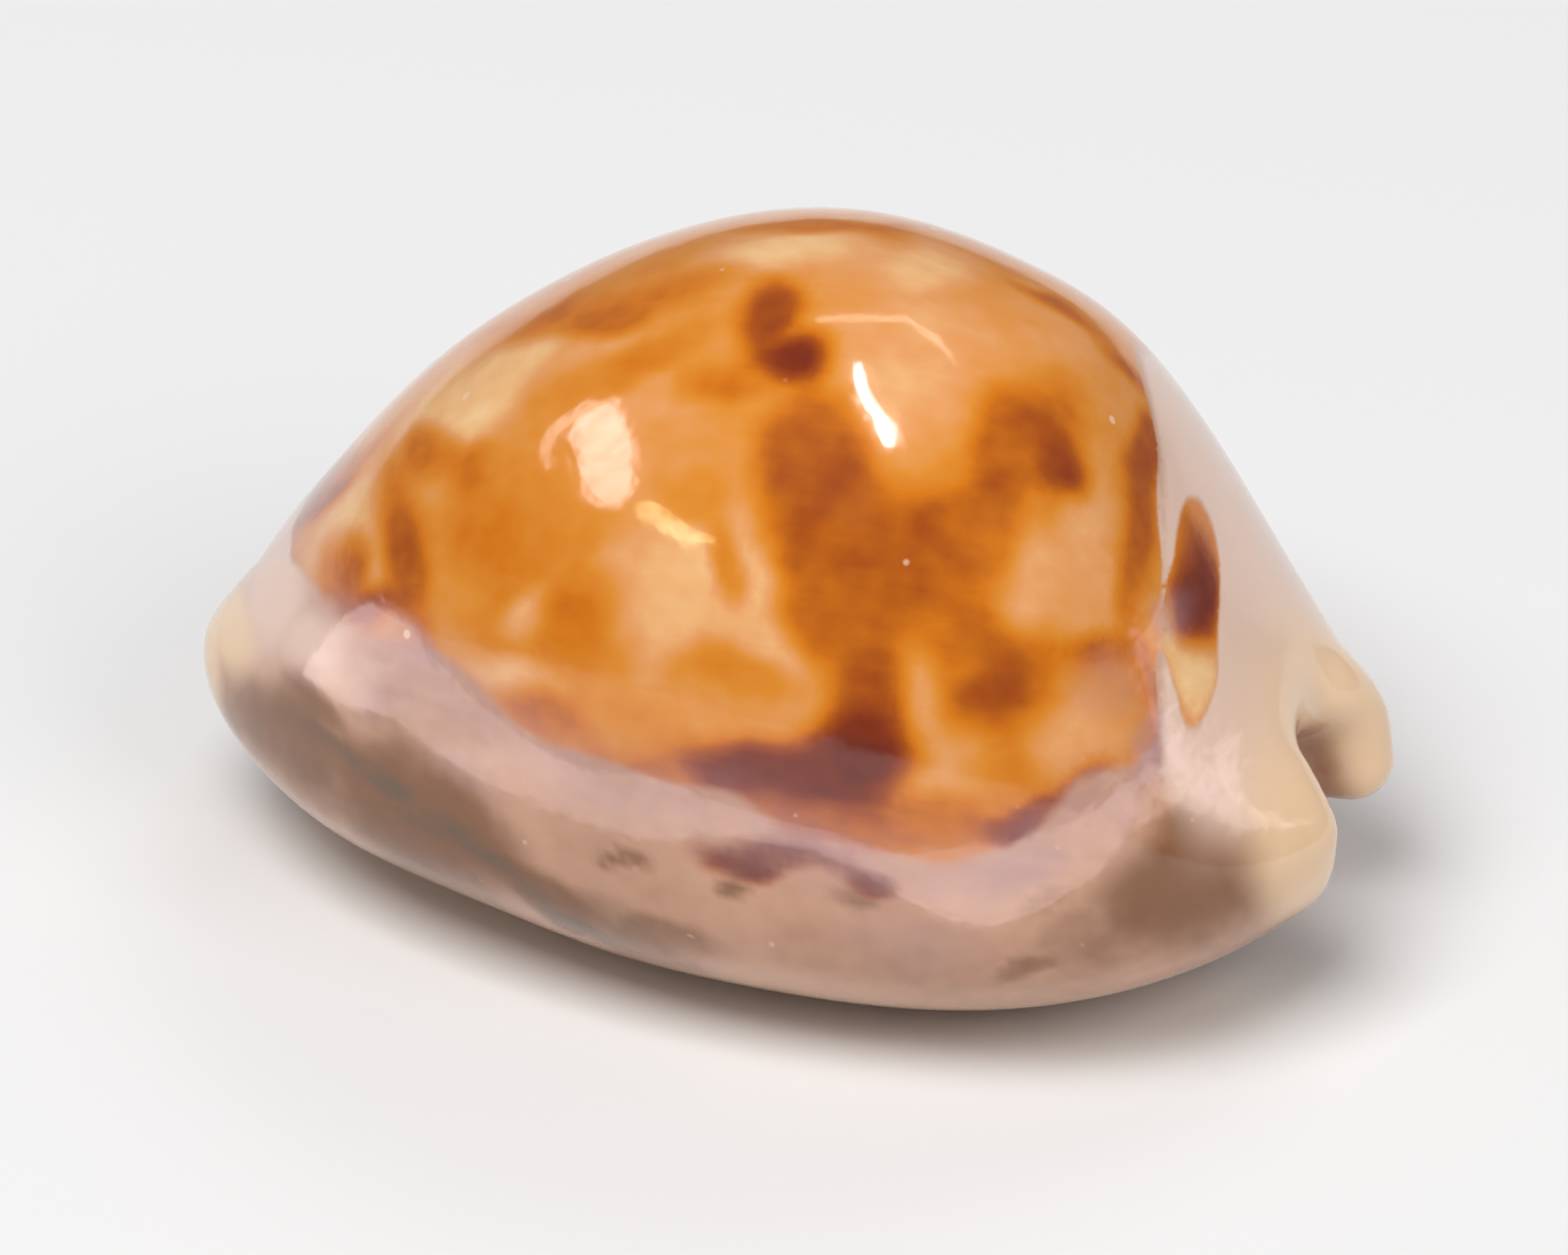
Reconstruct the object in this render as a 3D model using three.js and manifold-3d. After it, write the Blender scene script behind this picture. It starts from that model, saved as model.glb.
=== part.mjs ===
// A cowrie shell, lying on its base. Millimetres. +X is the front (anterior) end,
// -Y the outer lip's side and +Z the back (dorsum). Z = 0 is the surface it rests on.

import * as THREE from 'three';
import { ParametricGeometry } from 'three/addons/geometries/ParametricGeometry.js';
import { mergeVertices } from 'three/addons/utils/BufferGeometryUtils.js';
import Module from 'manifold-3d';

// Driving dimensions

const shellLength = 70;
const halfLength = shellLength / 2;

// Each outline is a smooth curve from the hind end to the front end, in even steps of
// X. A half-width, rise or depth is that of the full oval; the ends round it off.
const outlines = {
  lipSide: [11.5, 15, 17, 18.4, 19.6, 20.8, 21.7, 22, 21.9, 22, 22.5, 22.8, 23],
  innerSide: [11.8, 15.8, 18.7, 20.7, 22.1, 23.2, 24, 23.4, 22.6, 20.9, 18, 15, 13],
  backRise: [6.1, 13.9, 20.2, 23.4, 26.2, 28.5, 30, 30.1, 29.3, 28.6, 22.4, 12.4, 4.1],
  baseDepth: [8.4, 10.2, 11.1, 11.1, 11.8, 12.6, 12.6, 12.5, 12.4, 12.1, 11.7, 10.9, 10.3],
  marginHeight: [10.5, 10.9, 11.4, 11.9, 12.2, 12.2, 12.1, 11.9, 11.6, 11.5, 11.4, 11.5, 11.6],
  ridgeShift: [-0.1, -0.4, -0.7, -0.9, -1, -1, -1, -1, -1, -0.9, 0, 0.6, 1],
};
const backRoundness = 2.06;
const baseRoundness = 2.3;
const endFullness = 2.6;

// The hollow inside: how thick the wall is round it
const hollow = {
  front: 8,
  hind: 4.5,
  side: 3.2,
  back: 2.2,
  base: 4.6,
};

// The opening along the base, with its teeth
const opening = {
  overhang: 4,
  middle: [2.2, 1.9, 1.4, 0.6, -0.3, -1, -1.4, -1.6, -1.6, -1.4, -1, -0.8, -0.6],
  halfWidth: [1.8, 1.7, 1.6, 1.7, 1.8, 1.9, 2, 2.2, 2.5, 2.6, 2.1, 1.8, 3.8],
  roofHeight: [24, 8, 7.5, 8.5, 8.5, 8.5, 8.5, 8.5, 8.5, 8, 8, 12, 26],
  lipDepth: 3,
  lipFlare: 2,
  teethPerLip: 20,
  teethFrom: -25,
  teethTo: 25,
  outerToothDepth: 0.7,
  innerToothDepth: 0.5,
};

// The round canal of the front notch, in even steps from its start to the tip
const canal = {
  from: 22,
  middle: [-1.2, -0.8, 0, 0.8],
  height: [8, 9.4, 10.2, 9.6],
  radius: [1.2, 2.8, 4.4, 5.8],
};

// The oval that hollows the front end's far corner from below
const undercut = {
  middle: [34.5, 5, -1.5],
  size: [9.5, 9.5, 9.6],
};

// The thick rolled rim round the front notch: its core from the outer lip over the notch
const rim = {
  x: [30.6, 29, 27.4, 27.8, 29.1, 31.3, 31.9],
  y: [-5.6, -5, -3, 0.5, 3.9, 6, 5.9],
  z: [9, 11.2, 13.6, 15.1, 15.6, 13.2, 9.3],
  thickness: [2.3, 2.1, 1.9, 2, 2, 2, 2.2],
};

// How finely each surface is divided
const detail = {
  aroundBody: 44,
  alongBody: 54,
  aroundHollow: 22,
  alongHollow: 20,
  stepsPerTooth: 4,
  stepsPerEnd: 7,
  aroundCanal: 20,
  alongCanal: 8,
  aroundRim: 12,
  alongRim: 18,
};

// A smooth curve (a cubic B-spline) through evenly spaced values, read at -1 to 1
function along(values, place) {
  const spans = values.length - 1;
  const scaled = (THREE.MathUtils.clamp(place, -1, 1) + 1) / 2 * spans;
  const span = Math.min(Math.floor(scaled), spans - 1);
  const t = scaled - span;
  const before = span > 0 ? values[span - 1] : 2 * values[0] - values[1];
  const after = span < spans - 1 ? values[span + 2] : 2 * values[spans] - values[spans - 1];
  const weights = [
    (1 - t) ** 3,
    3 * t ** 3 - 6 * t ** 2 + 4,
    -3 * t ** 3 + 3 * t ** 2 + 3 * t + 1,
    t ** 3,
  ];
  const nearby = [before, values[span], values[span + 1], after];
  return nearby.reduce((sum, value, index) => sum + value * weights[index], 0) / 6;
}

// How much of its full width the oval has at x
function taperAt(x, reach) {
  return Math.max(0, 1 - Math.abs(x / reach) ** endFullness) ** (1 / endFullness);
}

// A point on the oval section at x, at an angle round it from +Y
function ovalPoint(x, angle, walls, target) {
  const place = x / halfLength;
  const taper = taperAt(x, halfLength - (x > 0 ? walls.front : walls.hind));
  const sideways = Math.cos(angle);
  const upwards = Math.sin(angle);
  const side = along(sideways < 0 ? outlines.lipSide : outlines.innerSide, place) - walls.side;
  const rise = upwards > 0
    ? along(outlines.backRise, place) - walls.back
    : along(outlines.baseDepth, place) - walls.base;
  const power = upwards > 0 ? backRoundness : baseRoundness;
  const share = (Math.abs(sideways) ** power + Math.abs(upwards) ** power) ** (-1 / power);
  target.set(
    x,
    along(outlines.ridgeShift, place) + side * taper * sideways * share,
    along(outlines.marginHeight, place) + rise * taper * upwards * share,
  );
}

function ovalGeometry(walls, stepsAround, stepsAlong) {
  const surface = (u, v, target) => {
    const swing = -Math.cos(v * Math.PI);
    const reach = halfLength - (swing > 0 ? walls.front : walls.hind);
    ovalPoint(swing * reach, u * 2 * Math.PI, walls, target);
  };
  return new ParametricGeometry(surface, stepsAround, stepsAlong);
}

function bodyGeometry() {
  const noWalls = { front: 0, hind: 0, side: 0, back: 0, base: 0 };
  return ovalGeometry(noWalls, detail.aroundBody, detail.alongBody);
}

function hollowGeometry() {
  return ovalGeometry(hollow, detail.aroundHollow, detail.alongHollow);
}

// Height of the base along its middle line, before the flat spot is cut
function baseHeight(x) {
  const place = x / halfLength;
  return along(outlines.marginHeight, place) - along(outlines.baseDepth, place) * taperAt(x, halfLength);
}

// X of each section of the opening: even steps over the teeth, wider ones at the ends
function openingStations() {
  const end = halfLength + opening.overhang;
  const toothSteps = opening.teethPerLip * detail.stepsPerTooth;
  const stations = [];
  for (let i = 0; i < detail.stepsPerEnd; i += 1) {
    stations.push(THREE.MathUtils.lerp(-end, opening.teethFrom, i / detail.stepsPerEnd));
  }
  for (let i = 0; i <= toothSteps; i += 1) {
    stations.push(THREE.MathUtils.lerp(opening.teethFrom, opening.teethTo, i / toothSteps));
  }
  for (let i = 1; i <= detail.stepsPerEnd; i += 1) {
    stations.push(THREE.MathUtils.lerp(opening.teethTo, end, i / detail.stepsPerEnd));
  }
  return stations;
}

// 1 in a groove between two teeth, 0 on a tooth and past the row of teeth
function groove(x, shift) {
  if (x <= opening.teethFrom || x >= opening.teethTo) {
    return 0;
  }
  const row = (x - opening.teethFrom) / (opening.teethTo - opening.teethFrom);
  const turn = (row * opening.teethPerLip + shift) * 2 * Math.PI;
  return Math.sin(turn + Math.PI / 4) > 0 ? 1 : 0;
}

// The outline of the opening at x, from the outer lip's foot over its roof to the other
function openingSection(x) {
  const place = x / halfLength;
  const middle = along(opening.middle, place);
  const half = along(opening.halfWidth, place);
  const roof = along(opening.roofHeight, place);
  const foot = baseHeight(x);
  const lipTop = Math.min(foot + opening.lipDepth, roof - half);
  const lip = (side, groovedBy) => [
    [middle + side * (half + opening.lipFlare + 2 * groovedBy), foot - opening.lipFlare],
    [middle + side * (half + opening.lipFlare * 0.5 + 2 * groovedBy), foot],
    [middle + side * (half + opening.lipFlare * 0.12 + groovedBy), foot + opening.lipDepth * 0.4],
    [middle + side * half, lipTop],
  ];
  const outer = lip(-1, opening.outerToothDepth * groove(x, 0));
  const inner = lip(1, opening.innerToothDepth * groove(x, 0.5)).reverse();
  const arch = [];
  for (let i = 0; i <= 4; i += 1) {
    const angle = Math.PI * (1 - i / 4);
    arch.push([middle + half * Math.cos(angle), roof - half + half * Math.sin(angle)]);
  }
  return [...outer, ...arch, ...inner, outer[0]];
}

function openingGeometry() {
  const stations = openingStations();
  const sections = stations.map(openingSection);
  const corners = sections[0].length - 1;
  const last = stations.length - 1;
  const surface = (u, v, target) => {
    const row = Math.round(v * (last + 2)) - 1;
    const station = THREE.MathUtils.clamp(row, 0, last);
    const [y, z] = sections[station][Math.round((1 - u) * corners)];
    const capped = row < 0 || row > last;
    const centre = sections[station][0];
    target.set(stations[station], capped ? centre[0] : y, capped ? centre[1] : z);
  };
  return new ParametricGeometry(surface, corners, last + 2);
}

// A closed tube of round sections along a core, each end closed at the core
function tubeGeometry(sectionAt, stepsAround, stepsAlong) {
  const surface = (u, v, target) => {
    const row = Math.round(v * (stepsAlong + 2)) - 1;
    const share = THREE.MathUtils.clamp(row / stepsAlong, 0, 1);
    const capped = row < 0 || row > stepsAlong;
    const { core, across, up, radius } = sectionAt(share);
    const angle = u * 2 * Math.PI;
    target.copy(core);
    if (!capped) {
      target.addScaledVector(across, radius * Math.cos(angle));
      target.addScaledVector(up, radius * Math.sin(angle));
    }
  };
  return new ParametricGeometry(surface, stepsAround, stepsAlong + 2);
}

function canalGeometry() {
  const end = halfLength + opening.overhang;
  const sectionAt = (share) => {
    const x = THREE.MathUtils.lerp(canal.from, end, share);
    const place = (x - canal.from) / (halfLength - canal.from) * 2 - 1;
    return {
      core: new THREE.Vector3(x, along(canal.middle, place), along(canal.height, place)),
      across: new THREE.Vector3(0, 1, 0),
      up: new THREE.Vector3(0, 0, 1),
      radius: along(canal.radius, place),
    };
  };
  return tubeGeometry(sectionAt, detail.aroundCanal, detail.alongCanal);
}

function undercutGeometry() {
  const oval = new THREE.SphereGeometry(1, 28, 18);
  oval.scale(...undercut.size);
  oval.translate(...undercut.middle);
  return oval;
}

function rimCore(place) {
  return new THREE.Vector3(along(rim.x, place), along(rim.y, place), along(rim.z, place));
}

function rimGeometry() {
  const ahead = new THREE.Vector3(1, 0, 0);
  const nudge = 0.01;
  const sectionAt = (share) => {
    const place = share * 2 - 1;
    const run = rimCore(place + nudge).sub(rimCore(place - nudge)).normalize();
    const across = new THREE.Vector3().crossVectors(run, ahead).normalize();
    const up = new THREE.Vector3().crossVectors(run, across);
    return { core: rimCore(place), across, up, radius: along(rim.thickness, place) };
  };
  return tubeGeometry(sectionAt, detail.aroundRim, detail.alongRim);
}

// The round tip at one end of the rim, place -1 or 1
function rimTip(place) {
  const tip = new THREE.SphereGeometry(along(rim.thickness, place), detail.aroundRim, detail.aroundRim / 2);
  tip.translate(...rimCore(place).toArray());
  return tip;
}

// Joining and cutting

const wasm = await Module();
wasm.setup();

function toSolid(geometry) {
  geometry.deleteAttribute('normal');
  geometry.deleteAttribute('uv');
  const merged = mergeVertices(geometry, 1e-4);
  const corners = [];
  for (let i = 0; i < merged.index.count; i += 3) {
    const [a, b, c] = [0, 1, 2].map((step) => merged.index.getX(i + step));
    if (a !== b && b !== c && c !== a) {
      corners.push(a, b, c);
    }
  }
  return new wasm.Manifold(new wasm.Mesh({
    numProp: 3,
    vertProperties: new Float32Array(merged.attributes.position.array),
    triVerts: new Uint32Array(corners),
  }));
}

function toGeometry(solid) {
  const mesh = solid.getMesh();
  const geometry = new THREE.BufferGeometry();
  geometry.setAttribute('position', new THREE.BufferAttribute(mesh.vertProperties, 3));
  geometry.setIndex(new THREE.BufferAttribute(mesh.triVerts, 1));
  geometry.computeVertexNormals();
  return geometry;
}

function floorBlock() {
  const block = new THREE.BoxGeometry(shellLength * 2, shellLength * 2, shellLength);
  block.translate(0, 0, -halfLength);
  return toSolid(block);
}

function shellGeometry() {
  const shell = toSolid(bodyGeometry())
    .subtract(toSolid(undercutGeometry()))
    .subtract(toSolid(hollowGeometry()))
    .subtract(toSolid(openingGeometry()))
    .subtract(toSolid(canalGeometry()))
    .add(toSolid(rimGeometry()))
    .add(toSolid(rimTip(-1)))
    .add(toSolid(rimTip(1)))
    .subtract(floorBlock());
  return toGeometry(shell);
}

const shellMaterial = new THREE.MeshStandardMaterial({
  color: 0xc98a4b,
  roughness: 0.12,
  metalness: 0,
});

const shell = new THREE.Mesh(shellGeometry(), shellMaterial);
shell.name = 'shell';

const cowrie = new THREE.Group();
cowrie.add(shell);

export default cowrie;
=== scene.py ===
import bpy
import math
import numpy as np
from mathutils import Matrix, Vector
from mathutils.bvhtree import BVHTree


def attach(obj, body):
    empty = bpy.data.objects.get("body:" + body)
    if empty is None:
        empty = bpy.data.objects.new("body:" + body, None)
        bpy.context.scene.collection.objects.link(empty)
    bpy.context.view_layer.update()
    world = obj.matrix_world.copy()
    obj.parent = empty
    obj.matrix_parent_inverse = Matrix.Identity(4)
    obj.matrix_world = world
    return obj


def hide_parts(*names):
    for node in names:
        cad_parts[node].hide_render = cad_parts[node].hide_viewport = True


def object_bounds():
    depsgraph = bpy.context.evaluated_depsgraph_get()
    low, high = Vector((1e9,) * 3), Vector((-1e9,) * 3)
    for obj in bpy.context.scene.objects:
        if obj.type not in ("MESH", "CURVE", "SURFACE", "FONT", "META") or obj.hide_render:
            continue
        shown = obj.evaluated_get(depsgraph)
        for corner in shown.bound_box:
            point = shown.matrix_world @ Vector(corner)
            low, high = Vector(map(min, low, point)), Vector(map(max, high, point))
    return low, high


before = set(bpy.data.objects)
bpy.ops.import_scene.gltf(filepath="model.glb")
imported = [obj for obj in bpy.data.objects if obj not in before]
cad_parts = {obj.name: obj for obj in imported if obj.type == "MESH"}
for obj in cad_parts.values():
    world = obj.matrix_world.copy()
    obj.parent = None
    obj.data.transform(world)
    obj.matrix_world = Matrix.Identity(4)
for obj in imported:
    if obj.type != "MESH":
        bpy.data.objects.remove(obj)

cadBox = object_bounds()
mm = 0.001

# The shell's form, in millimetres. +X is the front end, -Y the outer lip's side.
# An outline has a value at each of 13 even steps from the hind end to the front end.
shellForm = {
    "halfLength": 35.0,
    "lipSide": [11.5, 15, 17, 18.4, 19.6, 20.8, 21.7, 22, 21.9, 22, 22.5, 22.8, 23],
    "innerSide": [11.8, 15.8, 18.7, 20.7, 22.1, 23.2, 24, 23.4, 22.6, 20.9, 18, 15, 13],
    "backRise": [6.1, 13.9, 20.2, 23.4, 26.2, 28.5, 30, 30.1, 29.3, 28.6, 22.4, 12.4, 4.1],
    "baseDepth": [8.4, 10.2, 11.1, 11.1, 11.8, 12.6, 12.6, 12.5, 12.4, 12.1, 11.7, 10.9, 10.3],
    "marginHeight": [10.5, 10.9, 11.4, 11.9, 12.2, 12.2, 12.1, 11.9, 11.6, 11.5, 11.4, 11.5, 11.6],
    "ridgeShift": [-0.1, -0.4, -0.7, -0.9, -1, -1, -1, -1, -1, -0.9, 0, 0.6, 1],
    "backRoundness": 2.06,
    "baseRoundness": 2.3,
    "endFullness": 2.6,
    "frontWall": 8.0,
    "hindWall": 4.5,
    "sideWall": 3.2,
    "backWall": 2.2,
    "baseWall": 4.6,
    "hollowBlend": 2.0,
    "floorBlend": 0.3,
    "step": 0.6,             # spacing of the fine surface
}


# The opening along the base, its rolled lips and its teeth
lipForm = {
    "middle": [2.2, 1.9, 1.4, 0.6, -0.3, -1, -1.4, -1.6, -1.6, -1.4, -1, -0.8, -0.6],
    "halfWidth": [1.8, 1.7, 1.6, 1.7, 1.8, 1.9, 2, 2.2, 2.5, 2.6, 2.1, 1.8, 3.8],
    "roofHeight": [24, 8, 7.5, 8.5, 8.5, 8.5, 8.5, 8.5, 8.5, 8, 8, 12, 26],
    "rounding": [3.2, 3.2, 3, 3, 3, 3, 3, 3, 3, 3.2, 3.6, 3.6, 3.6],
    "canalFrom": 22.0,                     # the round front canal, in even steps from here to the tip
    "canalMiddle": [-1.2, -0.8, 0.0, 0.8],
    "canalHeight": [8, 9.4, 10.2, 9.6],
    "canalRadius": [1.2, 2.8, 4.4, 5.8],
    "canalBlend": 2.5,
    "undercut": (34.5, 5.0, -1.5),         # the front end's far corner is hollowed from below
    "undercutSize": (9.5, 9.5, 9.6),
    "undercutBlend": 4.0,
    "teethPerLip": 20,
    "teethFrom": -25,
    "teethTo": 25,
    "outerToothHeight": 0.8,
    "innerToothHeight": 0.6,
    "outerToothReach": 4.5,
    "innerToothReach": 3.0,
}


# The thick rolled rim round the front notch: where its core runs, and how thick it is
rimForm = {
    "x": [30.6, 29.0, 27.4, 27.8, 29.1, 31.3, 31.9],
    "y": [-5.6, -5.0, -3.0, 0.5, 3.9, 6.0, 5.9],
    "z": [9.0, 11.2, 13.6, 15.1, 15.6, 13.2, 9.3],
    "thickness": [2.3, 2.1, 1.9, 2.0, 2.0, 2.0, 2.2],
    "links": 18,
    "blend": 2.5,
    "around": 8,             # points further behind the rim than this are left alone
}


# A smooth curve (cubic B-spline) through evenly spaced values, read at places -1 to 1
def along(values, place):
    values = np.asarray(values, float)
    spans = len(values) - 1
    scaled = (np.clip(place, -1, 1) + 1) / 2 * spans
    span = np.minimum(scaled.astype(int), spans - 1)
    t = scaled - span
    padded = np.concatenate([[2 * values[0] - values[1]], values, [2 * values[-1] - values[-2]]])
    total = padded[span] * (1 - t) ** 3
    total += padded[span + 1] * (3 * t ** 3 - 6 * t ** 2 + 4)
    total += padded[span + 2] * (-3 * t ** 3 + 3 * t ** 2 + 3 * t + 1)
    total += padded[span + 3] * t ** 3
    return total / 6


def fade(low, high, value):
    t = np.clip((value - low) / (high - low), 0, 1)
    return t * t * (3 - 2 * t)


def smoothMax(a, b, width):
    overlap = np.maximum(width - np.abs(a - b), 0) / width
    return np.maximum(a, b) + overlap ** 3 * width / 6


# Distance to a surface, worked out from any field that is 0 on it and grows outwards
def asDistance(field, x, y, z, *more):
    nudge = 0.02
    here = field(x, y, z, *more)
    slopeX = (field(x + nudge, y, z, *more) - here) / nudge
    slopeY = (field(x, y + nudge, z, *more) - here) / nudge
    slopeZ = (field(x, y, z + nudge, *more) - here) / nudge
    slope = np.sqrt(slopeX ** 2 + slopeY ** 2 + slopeZ ** 2)
    return here / np.maximum(slope, 1e-4)


# The body as a bent oval: 0 on its surface, which side, back and base draw in
def ovalField(x, y, z, reach, side, back, base):
    form = shellForm
    place = x / form["halfLength"]
    sideways = y - along(form["ridgeShift"], place)
    upwards = z - along(form["marginHeight"], place)
    width = np.where(sideways < 0, along(form["lipSide"], place), along(form["innerSide"], place)) - side
    up = along(form["backRise"], place) - back
    down = along(form["baseDepth"], place) - base
    rise = np.where(upwards > 0, up, down)
    power = np.where(upwards > 0, form["backRoundness"], form["baseRoundness"])
    ring = (np.abs(sideways / width) ** power + np.abs(upwards / rise) ** power) ** (1 / power)
    fullness = form["endFullness"]
    return (ring ** fullness + np.abs(x / reach) ** fullness) ** (1 / fullness) - 1


def openingField(x, y, z):
    place = x / shellForm["halfLength"]
    half = along(lipForm["halfWidth"], place)
    sideways = y - along(lipForm["middle"], place)
    upwards = np.maximum(z - along(lipForm["roofHeight"], place) + half, 0)
    return np.sqrt(sideways ** 2 + upwards ** 2) - half


def canalField(x, y, z):
    half = shellForm["halfLength"]
    start = lipForm["canalFrom"]
    place = (x - start) / (half - start) * 2 - 1
    sideways = y - along(lipForm["canalMiddle"], place)
    upwards = z - along(lipForm["canalHeight"], place)
    before = np.maximum(start - x, 0)
    return np.sqrt(sideways ** 2 + upwards ** 2 + before ** 2) - along(lipForm["canalRadius"], place)


def undercutField(x, y, z):
    middle = lipForm["undercut"]
    size = lipForm["undercutSize"]
    return np.sqrt(sum(((value - middle[i]) / size[i]) ** 2 for i, value in enumerate((x, y, z)))) - 1


def rimDistance(x, y, z):
    form = rimForm
    places = np.linspace(-1, 1, form["links"] + 1)
    core = np.stack([along(form[axis], places) for axis in "xyz"], axis=1)
    thickness = along(form["thickness"], places)
    nearest = np.full(x.shape, 1e3)
    close = np.flatnonzero(x > core[:, 0].min() - form["around"])
    if len(close) == 0:
        return nearest
    points = np.stack([x[close], y[close], z[close]], axis=1)
    best = np.full(len(close), 1e3)
    for link in range(form["links"]):
        span = core[link + 1] - core[link]
        share = np.clip((points - core[link]) @ span / (span @ span), 0, 1)
        offset = points - core[link] - share[:, None] * span
        radius = thickness[link] + share * (thickness[link + 1] - thickness[link])
        best = np.minimum(best, np.sqrt((offset ** 2).sum(axis=1)) - radius)
    nearest[close] = best
    return nearest


# Height of the base, which lifts towards the ends
def baseHeight(place):
    fullness = shellForm["endFullness"]
    taper = np.maximum(0, 1 - np.abs(place) ** fullness) ** (1 / fullness)
    return along(shellForm["marginHeight"], place) - along(shellForm["baseDepth"], place) * taper


# How far the teeth stand out of the lips
def toothRelief(x, y, z):
    place = x / shellForm["halfLength"]
    sideways = y - along(lipForm["middle"], place)
    fromEdge = np.abs(sideways) - along(lipForm["halfWidth"], place)
    row = (x - lipForm["teethFrom"]) / (lipForm["teethTo"] - lipForm["teethFrom"])
    outer = sideways < 0
    turn = (row * lipForm["teethPerLip"] + np.where(outer, 0, 0.5)) * 2 * np.pi
    ridge = (0.5 - 0.5 * np.sin(turn + np.pi / 4)) ** 1.3
    height = np.where(outer, lipForm["outerToothHeight"], lipForm["innerToothHeight"])
    reach = np.where(outer, lipForm["outerToothReach"], lipForm["innerToothReach"])
    inRow = fade(-0.01, 0.04, row) * (1 - fade(0.96, 1.01, row))
    nearLip = fade(-1.5, 0.2, fromEdge) * (1 - fade(0.3, 1, fromEdge / reach))
    nearBase = 1 - fade(2.5, 5, z - baseHeight(place))
    return height * ridge * inRow * nearLip * nearBase


# The whole shell: body less undercut, hollow, opening and canal, with teeth and rim, cut flat below
def shellDistance(x, y, z):
    form = shellForm
    half = form["halfLength"]
    body = asDistance(ovalField, x, y, z, half, 0, 0, 0)
    walls = (form["sideWall"], form["backWall"], form["baseWall"])
    reach = half - np.where(x > 0, form["frontWall"], form["hindWall"])
    hollow = asDistance(lambda *at: ovalField(*at, reach, *walls), x, y, z)
    opening = asDistance(openingField, x, y, z)
    canal = asDistance(canalField, x, y, z)
    inside = smoothMax(smoothMax(-opening, -canal, lipForm["canalBlend"]), -hollow, form["hollowBlend"])
    rounding = along(lipForm["rounding"], x / half)
    body = smoothMax(body, -asDistance(undercutField, x, y, z), lipForm["undercutBlend"])
    shell = smoothMax(body, inside, rounding) - toothRelief(x, y, z)
    shell = -smoothMax(-shell, -rimDistance(x, y, z), rimForm["blend"])
    return smoothMax(shell, -z, form["floorBlend"])


# The surface where a distance is 0, as quads of about one grid step: one point in each cell that the
# surface passes through, and one quad across each grid edge that it cuts
def meshSurface(distance, low, high, step):
    counts = np.ceil((np.array(high) - low) / step).astype(int) + 1
    axes = [low[i] + step * np.arange(counts[i]) for i in range(3)]
    grid = np.empty(counts, np.float32)
    slab = 12
    for start in range(0, counts[0], slab):
        x, y, z = np.meshgrid(axes[0][start:start + slab], axes[1], axes[2], indexing="ij")
        grid[start:start + slab] = distance(x.ravel(), y.ravel(), z.ravel()).reshape(x.shape)
    inside = grid < 0
    sums = np.zeros((grid.size, 3))
    hits = np.zeros(grid.size)
    edges = []
    for axis in range(3):
        first = [slice(None)] * 3
        second = [slice(None)] * 3
        first[axis] = slice(None, -1)
        second[axis] = slice(1, None)
        crossing = np.argwhere(inside[tuple(first)] != inside[tuple(second)])
        step1 = np.zeros(3, int)
        step1[axis] = 1
        a = grid[tuple(crossing.T)]
        b = grid[tuple((crossing + step1).T)]
        point = crossing.astype(float)
        point[:, axis] += a / (a - b)
        u, v = [np.eye(3, dtype=int)[(axis + k) % 3] for k in (1, 2)]
        cells = [crossing, crossing - u, crossing - u - v, crossing - v]
        flat = [np.ravel_multi_index(cell.T, counts) for cell in cells]
        for ids in flat:
            hits += np.bincount(ids, minlength=grid.size)
            for k in range(3):
                sums[:, k] += np.bincount(ids, point[:, k], minlength=grid.size)
        quads = np.stack(flat, axis=1)
        quads[a > 0] = quads[a > 0][:, ::-1]
        edges.append(quads)
    used = np.flatnonzero(hits)
    number = np.full(grid.size, -1)
    number[used] = np.arange(len(used))
    points = sums[used] / hits[used][:, None] * step + low
    return points, number[np.concatenate(edges)]


# Which way a distance grows, and how fast
def gradient(distance, points):
    nudge = 0.03
    slopes = []
    for axis in range(3):
        ahead = points.copy()
        behind = points.copy()
        ahead[:, axis] += nudge
        behind[:, axis] -= nudge
        slopes.append((distance(*ahead.T) - distance(*behind.T)) / (2 * nudge))
    return np.stack(slopes, axis=1)


# Moves points onto the surface, a little way at a time
def settleOnSurface(distance, points, rounds):
    longest = 0.3
    leastSlope = 0.05
    for _ in range(rounds):
        slope = gradient(distance, points)
        size = np.maximum((slope ** 2).sum(axis=1), leastSlope)
        move = -distance(*points.T)[:, None] * slope / size[:, None]
        points = points + np.clip(move, -longest, longest)
    return points


# Draws each point towards the middle of its neighbours, so that the quads come out even
def evenOut(distance, points, quads, rounds):
    pull = 0.6
    pairs = np.concatenate([quads[:, [0, 1]], quads[:, [1, 2]], quads[:, [2, 3]], quads[:, [3, 0]]])
    count = np.bincount(pairs.ravel(), minlength=len(points))
    for _ in range(rounds):
        middle = np.zeros_like(points)
        for axis in range(3):
            middle[:, axis] += np.bincount(pairs[:, 0], points[pairs[:, 1], axis], len(points))
            middle[:, axis] += np.bincount(pairs[:, 1], points[pairs[:, 0], axis], len(points))
        points = points + pull * (middle / count[:, None] - points)
        points = settleOnSurface(distance, points, 1)
    return points


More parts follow.
